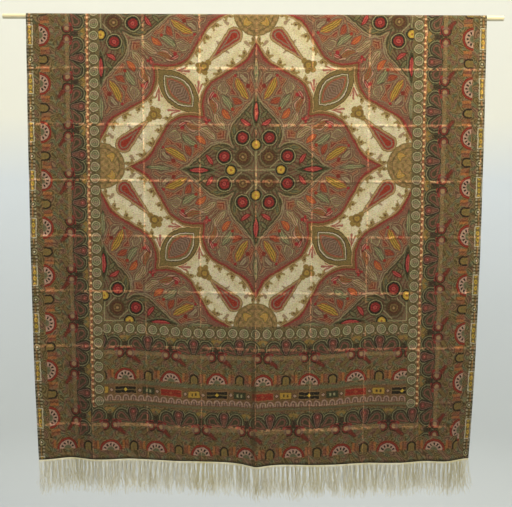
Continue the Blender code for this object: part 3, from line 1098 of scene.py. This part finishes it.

# %% [markdown]
# ## Weave, creases and painted light
# Twill shows as fine slanted lines. Yarns vary along their length, so the colour is
# streaked along and across. Creases from storage stand up a little; painted highlights make
# them lighter and warmer in places, and painted shade darkens the middle fold and the hem.

# %% Weave group
WEFT_STRETCH, WARP_STRETCH, FLECK_STRETCH = (0.08, 0.5, 0), (0.5, 0.05, 0), (0.16, 0.26, 0)
TWILL_SLANT, TWILL_PITCH = (0.55, 0.83, 0), 3.3


def make_weave_group():
    """Slanted twill and uneven yarn: a shade and a tint to multiply by, flecks, a height."""
    outputs = (("Shade", NUMBER), ("Tint", VECTOR), ("Flecks", NUMBER), ("Slubs", NUMBER),
               ("Height", NUMBER))
    pen, given, give = new_group("Wool twill", (("Flat", VECTOR),), outputs)
    flat = pen.vector("MULTIPLY", given["Flat"], (1000 * WIDTH, 2000 * HALF_LENGTH, 0))
    weft = pen.streaks(flat, WEFT_STRETCH)
    shade = pen.line(weft, 0.5, 0.05)
    shade = pen.line(pen.streaks(flat, WARP_STRETCH), 0.5, shade)
    shade = pen.line(pen.noise(flat, 0.012, 3.0), 0.3, shade)
    shade = pen.line(pen.noise(flat, 0.22, 3.0, 0.7), 0.8, shade)
    flecks = pen.streaks(flat, FLECK_STRETCH, 2.0, 0.6)
    slant = pen.times(pen.vector("DOT_PRODUCT", flat, TWILL_SLANT), TWILL_PITCH)
    twill = pen.line(pen.sum("SINE", slant), 0.5, 0.5)
    yarns = pen.noise(flat, 0.3, 2.0, 0.6, coloured=True)
    return give(
        Shade=shade,
        Tint=pen.vector("MULTIPLY_ADD", yarns, (0.9, 0.9, 0.9), (0.55, 0.55, 0.55)),
        Flecks=pen.held(pen.line(flecks, 5.0, -2.6)),
        Slubs=pen.held(pen.line(flecks, -6.0, 2.6)),
        Height=pen.line(twill, 0.35, pen.times(weft, 0.9)),
    )


# %% Crease group
CREASE_SPACING_MM = CREASE_SPACING * 1000
LEVEL_SPACING = 197.0
EVEN_LEVELS = 1280.0
LAST_LEVEL = 1462.0
MIDDLE_FOLD_OFF = 6.0


def near_fold(pen, distance, spacing):
    """How far a distance is from the nearest multiple of the spacing."""
    folded = pen.fold(distance, spacing)
    return pen.both(folded, pen.less(spacing, folded))


def make_crease_group():
    """Creases: painted highlights, painted shadow of the middle fold, painted shade to the hem, ridge.
    """
    inputs = (("Across", NUMBER), ("From Fold", NUMBER))
    outputs = (("Glints", NUMBER), ("Dark", NUMBER), ("Soil", NUMBER), ("Ridge", NUMBER))
    pen, given, give = new_group("Storage creases", inputs, outputs)
    across, from_fold = given["Across"], given["From Fold"]
    near_upright = near_fold(pen, across, CREASE_SPACING_MM)
    near_even = near_fold(pen, from_fold, LEVEL_SPACING)
    low = pen.sum("GREATER_THAN", from_fold, EVEN_LEVELS)
    last = pen.off(from_fold, LAST_LEVEL)
    near_level = pen.both(pen.line(low, LEVEL_SPACING, near_even), last)
    place = pen.place(across, from_fold)
    # Patches and flecks that break up the painted highlights; the patches also break up the painted
    # shadow.
    patchy = pen.line(pen.noise(place, 0.011, 2.0), 5.0, -2.0)
    fleck = pen.line(pen.noise(place, 0.075, 1.0), 7.0, -2.9)
    slim = pen.line(from_fold, 0.0016, pen.plus(near_upright, 0.6))
    # Painted highlights: thin bright lines along the crease lines.
    glints = pen.both(pen.inside(pen.both(slim, near_level), 3.9, 3.0), patchy, fleck)
    # Painted shadow down the middle fold, wider and unbroken towards the hem.
    lower = pen.grown(from_fold, 945, 350)
    middle = pen.size(pen.plus(across, MIDDLE_FOLD_OFF))
    dark = pen.inside(pen.less(middle, pen.line(lower, 6.0, 3.5)), 0, 7.0)
    return give(
        Glints=pen.held(glints),
        Dark=pen.held(pen.both(dark, pen.either(patchy, lower))),
        # Painted shade, growing towards the hem.
        Soil=pen.grown(from_fold, 840, 700),
        Ridge=pen.held(pen.line(pen.both(near_upright, near_even), -1 / 8, 1)),
    )


weave_group = make_weave_group()
crease_group = make_crease_group()
print("weave and creases ready")

# %% Cloth materials
WOBBLE = 0.009
FLECK_DYE = seen(40, 28, 12)
SLUB_DYE = seen(176, 146, 98)
REVERSE_DYE = seen(132, 98, 72)
PAINTED_GLINT_COLOUR = seen(226, 148, 112)


def new_material(name):
    material = bpy.data.materials.new(name)
    material.use_nodes = True
    return material, Pen(material.node_tree), material.node_tree.nodes["Principled BSDF"]


def flat_cloth(pen):
    """Where a point lies on the flat cloth, exactly and a little uneven as handwork is."""
    flat = pen.node("ShaderNodeUVMap", uv_map="cloth").outputs[0]
    wobble = pen.noise(flat, 110.0, 3.0, 0.65, coloured=True)
    off = pen.vector("SUBTRACT", wobble, (0.5, 0.5, 0.5))
    step = (WOBBLE / WIDTH, WOBBLE / (2 * HALF_LENGTH), 0)
    return flat, pen.vector("MULTIPLY_ADD", off, step, flat)


def relief(pen, shader, height, distance, strength=1.0):
    node = pen.node("ShaderNodeBump")
    pen.feed_by_name(node.inputs, {"Distance": distance, "Strength": strength, "Height": height})
    pen.feed(shader.inputs["Normal"], node.outputs[0])


def make_cloth_material(name, reverse):
    material, pen, shader = new_material(name)
    flat, uneven = flat_cloth(pen)
    plan = use_group(pen, plan_group, Flat=uneven)
    weave = use_group(pen, weave_group, Flat=flat)
    crease = use_group(pen, crease_group, Across=plan["Across"], From_Fold=plan["From Fold"])
    colour = plan["Colour"]
    if reverse:
        colour = pen.lay(colour, REVERSE_DYE, 0.62)
    colour = pen.lay(colour, FLECK_DYE, pen.times(weave["Flecks"], 0.5))
    colour = pen.lay(colour, SLUB_DYE, pen.times(weave["Slubs"], 0.22))
    # Painted shadow of the middle fold, laid in dark olive.
    colour = pen.lay(colour, OLIVE_DARK, pen.times(crease["Dark"], 0.6))
    # Painted highlights along the creases: the colour made brighter and warmer there.
    painted_glint = pen.lay(pen.scaled(colour, 2.6), PAINTED_GLINT_COLOUR, 0.35)
    colour = pen.lay(colour, painted_glint, pen.times(crease["Glints"], 0.85))
    colour = pen.vector("MULTIPLY", colour, weave["Tint"])
    # Painted shade: the cloth up to 12 per cent darker towards the hem.
    tone_with_painted_shade = pen.times(weave["Shade"], pen.line(crease["Soil"], -0.12, 1.0))
    pen.feed(shader.inputs["Base Color"], pen.scaled(colour, tone_with_painted_shade))
    pen.feed(shader.inputs["Roughness"], pen.line(weave["Height"], -0.12, 0.92))
    shader.inputs["Specular IOR Level"].default_value = 0.25
    shader.inputs["Sheen Weight"].default_value = 0.06
    shader.inputs["Sheen Roughness"].default_value = 0.5
    relief(pen, shader, pen.line(crease["Ridge"], 3.0, weave["Height"]), 0.0006)
    return material


shawl.data.materials.append(make_cloth_material("woven_face", False))
shawl.data.materials.append(make_cloth_material("woven_reverse", True))
print("cloth materials:", [m.name for m in shawl.data.materials])

# %% [markdown]
# ## The rod
# The rod is a plain dowel of pale wood, 18 mm thick, with slightly rounded ends. It is
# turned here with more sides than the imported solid, so its end shows round.

# %% Build the rod
ROD_LENGTH = 1.765
ROD_SIDES = 64
ROD_ROUNDING = 0.0012
ROD_END_RING = 0.55 * ROD_RADIUS


def face_outwards(mesh, add=None):
    """Turns all faces outwards, after an optional function has added more."""
    work = bmesh.new()
    work.from_mesh(mesh)
    if add:
        add(work)
    bmesh.ops.recalc_face_normals(work, faces=work.faces)
    work.to_mesh(mesh)
    work.free()


def make_rod():
    """Rings of points along the rod, each end drawn in by its rounding."""
    half = ROD_LENGTH / 2
    near_end = [
        (half, ROD_END_RING),
        (half, ROD_RADIUS - ROD_ROUNDING),
        (half - ROD_ROUNDING * 0.3, ROD_RADIUS - ROD_ROUNDING * 0.3),
        (half - ROD_ROUNDING, ROD_RADIUS),
    ]
    stations = [(-x, radius) for x, radius in near_end]
    stations += [(x, ROD_RADIUS) for x in (-half / 2, 0.0, half / 2)]
    stations += near_end[::-1]
    vertices, faces = [], []
    for x, radius in stations:
        for side in range(ROD_SIDES):
            turn = 2 * math.pi * side / ROD_SIDES
            vertices.append((x, radius * math.cos(turn), radius * math.sin(turn)))
    for ring in range(len(stations) - 1):
        for side in range(ROD_SIDES):
            a, b = ring * ROD_SIDES + side, ring * ROD_SIDES + (side + 1) % ROD_SIDES
            faces.append((a, b, b + ROD_SIDES, a + ROD_SIDES))
    faces.append(tuple(range(ROD_SIDES))[::-1])
    last = (len(stations) - 1) * ROD_SIDES
    faces.append(tuple(range(last, last + ROD_SIDES)))
    piece = new_piece("wooden_rod", vertices, faces)
    piece.data.polygons.foreach_set("use_smooth", [len(f) == 4 for f in faces])
    face_outwards(piece.data)
    return piece


def make_wood():
    material, pen, shader = new_material("pale_wood")
    grain = pen.streaks(pen.on_piece(), (6, 160, 160), 4.0, 0.6)
    colour = pen.lay(seen(236, 228, 204), seen(212, 196, 158), pen.line(grain, 2.2, -0.7))
    pen.feed(shader.inputs["Base Color"], colour)
    pen.feed(shader.inputs["Roughness"], pen.line(grain, 0.2, 0.42))
    relief(pen, shader, grain, 0.0004, 0.5)
    return material


rod = make_rod()
rod.data.materials.append(make_wood())
print("rod:", ROD_LENGTH, "m long")

# %% [markdown]
# ## The fringe
# The warp threads are left loose below a narrow woven heading. They cling together in
# small uneven clumps, wave a little, and thin out towards their ends. Geometry Nodes
# sets a strand at each of many points along the hem, pulls it towards its clump and
# gives it a wave of its own, all from one seed.

# %% The fringe's node tree
STRANDS = 1700
STRAND_LENGTH = 0.118
STRAND_RADIUS = 0.00034
CLUMP_PITCH = 0.0155
SCATTER_ALONG, SCATTER_ACROSS = 0.003, 0.0006
SHORTEST, LONGEST = 0.72, 1.06
STRAND_POINTS = 9
STRAND_SIDES = 3
FRINGE_INPUTS = {"Strands": "NodeSocketInt", "Length": NUMBER, "Radius": NUMBER,
                 "Clump Pitch": NUMBER, "Seed": "NodeSocketInt", "Yarn": "NodeSocketMaterial"}


def make_fringe_tree():
    """A hem's line goes in; loose strands that hang from it come out."""
    tree = bpy.data.node_groups.new("Loose fringe", "GeometryNodeTree")
    tree.interface.new_socket("Geometry", in_out="INPUT", socket_type="NodeSocketGeometry")
    for title, kind in FRINGE_INPUTS.items():
        tree.interface.new_socket(title, in_out="INPUT", socket_type=kind)
    tree.interface.new_socket("Geometry", in_out="OUTPUT", socket_type="NodeSocketGeometry")
    pen = Pen(tree)
    given = pen.node("NodeGroupInput").outputs
    result = pen.node("NodeGroupOutput")

    def add(kind, **feeds):
        node = pen.node("GeometryNode" + kind)
        pen.feed_by_name(node.inputs, feeds)
        return node.outputs[0]

    def chance(low, high, offset):
        node = pen.node("FunctionNodeRandomValue", data_type="FLOAT")
        pen.feed(node.inputs[2], low)
        pen.feed(node.inputs[3], high)
        pen.feed(node.inputs["Seed"], pen.plus(given["Seed"], offset))
        return node.outputs[1]

    def wander(place, scale, detail, amount):
        """Noise about nought, up to half the amount either way."""
        return pen.times(pen.less(pen.noise(place, scale, detail), 0.5), amount)

    def store(geometry, name, value):
        node = pen.node("GeometryNodeStoreNamedAttribute", data_type="FLOAT", domain="POINT")
        pen.feed_by_name(node.inputs, {"Geometry": geometry, "Name": name, "Value": value})
        return node.outputs["Geometry"]

    def recall(name):
        node = pen.node("GeometryNodeInputNamedAttribute", data_type="FLOAT")
        pen.feed(node.inputs["Name"], name)
        return node.outputs["Attribute"]

    roots = pen.node("GeometryNodeCurveToPoints", mode="COUNT")
    pen.feed_by_name(roots.inputs, {"Curve": given["Geometry"], "Count": given["Strands"]})
    along_hem = pen.split(pen.node("GeometryNodeInputPosition").outputs[0])[0]
    shift_along = chance(-SCATTER_ALONG, SCATTER_ALONG, 1)
    shift = pen.place(shift_along, chance(-SCATTER_ACROSS, SCATTER_ACROSS, 2))
    points = add("SetPosition", Geometry=roots.outputs["Points"], Offset=shift)
    points = store(points, "root", along_hem)
    points = store(points, "own", chance(0.0, 100.0, 3))
    reach = pen.times(given["Length"], chance(SHORTEST, LONGEST, 4))
    uneven = pen.noise(pen.place(pen.times(along_hem, 9.0), given["Seed"]), 1.0)
    reach = pen.times(reach, pen.line(uneven, 0.5, 0.75))
    strand = add("ResampleCurve", Curve=add("CurvePrimitiveLine", End=(0, 0, -1)), Count=STRAND_POINTS)
    scale = pen.fill(pen.node("ShaderNodeCombineXYZ"), 1, 1, reach)
    strands = add("InstanceOnPoints", Points=points, Instance=strand, Scale=scale)
    strands = add("RealizeInstances", Geometry=strands)

    share = pen.node("GeometryNodeSplineParameter").outputs["Factor"]
    own, root = recall("own"), recall("root")
    clump = pen.over(root, given["Clump Pitch"])
    clump = pen.line(pen.noise(pen.place(root, 0.0), 31.0, 1.0), 1.9, clump)
    from_clump = pen.less(pen.less(clump, pen.sum("FLOOR", clump)), 0.5)
    pull = pen.times(pen.times(from_clump, given["Clump Pitch"]), -0.8)
    gathering = pen.sum("SMOOTH_MIN", pen.times(share, 2.2), 1.0, 0.4)
    stray = wander(pen.place(own, 3.0), 5.0, 0.0, 0.08)
    sway = wander(pen.place(pen.times(root, 30.0), given["Seed"]), 1.0, 1.0, 0.05)
    wave_x = wander(pen.place(own, pen.times(share, 2.6)), 1.9, 1.0, 0.03)
    wave_y = wander(pen.place(pen.plus(own, 50.0), pen.times(share, 2.0)), 1.3, 1.0, 0.012)
    drift = pen.plus(pen.times(pull, gathering), pen.times(wave_x, pen.times(share, 1.6)))
    drift = pen.plus(drift, pen.times(pen.plus(stray, sway), pen.sum("POWER", share, 1.6)))
    offset = pen.place(drift, pen.times(wave_y, pen.times(share, 1.4)))
    bent = add("SetPosition", Geometry=strands, Offset=offset)
    profile = add("CurvePrimitiveCircle", Resolution=STRAND_SIDES, Radius=given["Radius"])
    tubes = add("CurveToMesh", Curve=bent, Profile_Curve=profile, Fill_Caps=True)
    whole = add("RealizeInstances", Geometry=tubes)
    pen.feed(result.inputs[0], add("SetMaterial", Geometry=whole, Material=given["Yarn"]))
    return tree


fringe_tree = make_fringe_tree()
print("fringe tree:", len(fringe_tree.nodes), "nodes")

# %% Yarn and heading materials
TICK_PITCH = 0.0085


def make_yarn():
    """Unspun cream wool, yellowed unevenly along and between the strands."""
    material, pen, shader = new_material("fringe_yarn")
    place = pen.on_piece()
    tint = pen.streaks(place, (60, 40, 5))
    clumps = pen.streaks(place, (9, 3, 2), 1.0)
    colour = pen.lay(seen(232, 226, 206), seen(196, 182, 140), pen.line(tint, 2.6, -1.2))
    colour = pen.lay(colour, seen(206, 194, 142), pen.line(clumps, 2.5, -1.1))
    pen.feed(shader.inputs["Base Color"], colour)
    pen.feed(shader.inputs["Roughness"], pen.line(tint, 0.15, 0.78))
    shader.inputs["Specular IOR Level"].default_value = 0.2
    return material


def make_heading_material():
    """A narrow woven band: cream, with dark ticks along its right half."""
    material, pen, shader = new_material("woven_heading")
    along = pen.split(pen.on_piece())[0]
    ticks = pen.outside(pen.fold(along, TICK_PITCH), TICK_PITCH - 0.0025, 0.002)
    patch = pen.noise(pen.place(pen.times(along, 30.0), 2.0), 1.0, 1.0)
    ticked = pen.grown(along, 0.1, 1 / 9)
    colour = pen.lay(seen(190, 180, 144), seen(196, 182, 130), patch)
    colour = pen.lay(colour, seen(48, 42, 22), ticks, ticked)
    pen.feed(shader.inputs["Base Color"], colour)
    pen.feed(shader.inputs["Roughness"], pen.line(patch, 0.1, 0.82))
    relief(pen, shader, pen.held(ticks), 0.0003)
    return material


yarn = make_yarn()
heading_cloth = make_heading_material()
print("yarn and heading ready")

# %% Grow the fringes
HEADING_HEIGHT = 0.0055
HEADING_GAP = 0.0003
HEADING_HALF_THICKNESS = 0.6 * WALL
ROOTS_BELOW_HEM = HEADING_GAP + 0.6 * HEADING_HEIGHT


def hem_curve(name, hem):
    data = bpy.data.curves.new(name, "CURVE")
    data.dimensions = "3D"
    line = data.splines.new("POLY")
    line.points.add(len(hem) - 1)
    for point, place in zip(line.points, hem):
        point.co = (place.x, place.y, place.z - ROOTS_BELOW_HEM, 1)
    curve = bpy.data.objects.new(name, data)
    scene.collection.objects.link(curve)
    return curve


def add_heading(work, hem, slot):
    """A narrow closed band just below the hem, as thick as the cloth."""
    rings = []
    for place in hem:
        top = place.z - HEADING_GAP
        corners = ((-1, top), (1, top), (1, top - HEADING_HEIGHT), (-1, top - HEADING_HEIGHT))
        thick = HEADING_HALF_THICKNESS
        rings.append([work.verts.new((place.x, place.y + side * thick, z)) for side, z in corners])
    for before, after in zip(rings, rings[1:]):
        for corner in range(4):
            following = (corner + 1) % 4
            face = (before[corner], after[corner], after[following], before[following])
            work.faces.new(face).material_index = slot
    for ring in (rings[0], rings[-1]):
        work.faces.new(ring).material_index = slot


def make_fringe(name, hem, seed):
    curve = hem_curve(name + "_line", hem)
    grower = curve.modifiers.new("fringe", "NODES")
    grower.node_group = fringe_tree
    values = {"Strands": STRANDS, "Length": STRAND_LENGTH, "Radius": STRAND_RADIUS,
              "Clump Pitch": CLUMP_PITCH, "Seed": seed, "Yarn": yarn}
    for item in fringe_tree.interface.items_tree:
        if item.in_out == "INPUT" and item.name in values:
            grower[item.identifier] = values[item.name]
    evaluated = curve.evaluated_get(bpy.context.evaluated_depsgraph_get())
    mesh = bpy.data.meshes.new_from_object(evaluated)
    bpy.data.objects.remove(curve, do_unlink=True)
    mesh.name = name
    face_outwards(mesh, lambda work: add_heading(work, hem, 1))
    for name_left in ("root", "own"):
        mesh.attributes.remove(mesh.attributes[name_left])
    mesh.materials.clear()
    mesh.materials.append(yarn)
    mesh.materials.append(heading_cloth)
    piece = bpy.data.objects.new(name, mesh)
    scene.collection.objects.link(piece)
    print(name, "faces:", len(mesh.polygons))
    return piece


front_fringe = make_fringe("front_fringe", front_hem, 3)
back_fringe = make_fringe("back_fringe", back_hem, 8)

# %% [markdown]
# ## Floor, backdrop and light
# A pale floor sweeps up into a pale wall all round, so every view sees the same plain
# backdrop. The photograph is lit from above and in front: a warm soft light near the top
# and a cooler fill, so the cloth and the wall both darken downwards. Painted shade in the
# wall's paint and the cloth's colour darkens them further towards the bottom.

# %% Stage
FLOOR_Z = -2.6
BOWL_RADIUS = 6.5
SWEEP = 2.0
WALL_TOP = 5.0
BOWL_SIDES = 96
FLOOR_RING = 2.2
SWEEP_STEPS = 12


def make_stage():
    """A round floor whose rim sweeps up into a wall."""
    profile = [(FLOOR_RING, FLOOR_Z), (BOWL_RADIUS - SWEEP, FLOOR_Z)]
    for step in range(1, SWEEP_STEPS + 1):
        turn = math.pi / 2 * step / SWEEP_STEPS
        reach = BOWL_RADIUS - SWEEP + SWEEP * math.sin(turn)
        profile.append((reach, FLOOR_Z + SWEEP * (1 - math.cos(turn))))
    profile.append((BOWL_RADIUS, WALL_TOP))
    vertices = [(0, 0, FLOOR_Z)]
    for radius, z in profile:
        for side in range(BOWL_SIDES):
            turn = 2 * math.pi * side / BOWL_SIDES
            vertices.append((radius * math.cos(turn), radius * math.sin(turn), z))
    sides = [(side, (side + 1) % BOWL_SIDES) for side in range(BOWL_SIDES)]
    faces = [(0, 1 + side, 1 + after) for side, after in sides]
    for ring in range(len(profile) - 1):
        for side, after in sides:
            a, b = 1 + ring * BOWL_SIDES + side, 1 + ring * BOWL_SIDES + after
            faces.append((a, a + BOWL_SIDES, b + BOWL_SIDES, b))
    stage = new_piece("pale_backdrop", vertices, faces)
    stage.data.polygons.foreach_set("use_smooth", [True] * len(faces))
    return stage


def make_backdrop_material():
    """Pale paint in three tones: painted shade makes it greyer at the foot, painted light warmer at the
    top.
    """
    material, pen, shader = new_material("backdrop_with_painted_light")
    height = pen.split(pen.on_piece())[2]
    above_foot = pen.line(height, 0.42, 1.25)
    above_middle = pen.line(height, 1.5, 0.72)
    # Painted shade darkens the wall towards its foot; painted light brightens and warms its top.
    paint_with_painted_shade = pen.lay(seen(176, 180, 180), seen(226, 232, 238), above_foot)
    pen.feed(shader.inputs["Base Color"], pen.lay(paint_with_painted_shade, seen(246, 244, 232), above_middle))
    shader.inputs["Roughness"].default_value = 0.95
    return material


stage = make_stage()
stage.data.materials.append(make_backdrop_material())
print("stage radius:", BOWL_RADIUS, "m")

# %% Lights
Lamp = namedtuple("Lamp", "name place aim width height power colour")
LAMPS = (
    Lamp("key", (0.6, -1.6, 1.42), (0, 0, -0.5), 1.6, 0.8, 70, (1.0, 0.88, 0.50)),
    Lamp("fill", (1.8, -4.2, 0.2), (0, 0, -0.9), 2.4, 2.0, 14, (1.0, 0.98, 0.98)),
    Lamp("behind", (0.3, 3.4, 1.6), (0, 0, -0.8), 2.4, 1.6, 70, (1.0, 0.97, 0.92)),
    Lamp("wall", (0, -1.0, 4.6), (0, 6.5, 1.0), 6.0, 2.0, 350, (1.0, 0.985, 0.95)),
)


def make_lamp(lamp):
    data = bpy.data.lights.new(lamp.name, "AREA")
    data.shape = "RECTANGLE"
    data.size = lamp.width
    data.size_y = lamp.height
    data.energy = lamp.power
    data.color = lamp.colour
    light = bpy.data.objects.new(lamp.name, data)
    facing = (Vector(lamp.aim) - Vector(lamp.place)).to_track_quat("-Z", "Y").to_matrix().to_4x4()
    light.matrix_world = Matrix.Translation(lamp.place) @ facing
    light.visible_camera = False
    scene.collection.objects.link(light)


for lamp in LAMPS:
    make_lamp(lamp)
world = bpy.data.worlds.new("room")
world.use_nodes = True
sky = world.node_tree.nodes["Background"].inputs
sky["Color"].default_value = seen(220, 230, 244)
sky["Strength"].default_value = 0.4
scene.world = world
scene.view_settings.view_transform = "Standard"
print("lamps:", [lamp.name for lamp in LAMPS])

# %% [markdown]
# ## Put the pieces on the frame
# The cloth and its fringes replace their plain solids, and all ride on the one body.

PIECES = (
    (shawl, "shawl", "cloth"),
    (front_fringe, "fringe_front", "fringe"),
    (back_fringe, "fringe_back", "fringe"),
    (rod, "rod", "rod"),
)
for piece, node, slot in PIECES:
    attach(piece, "root")
    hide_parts(node)
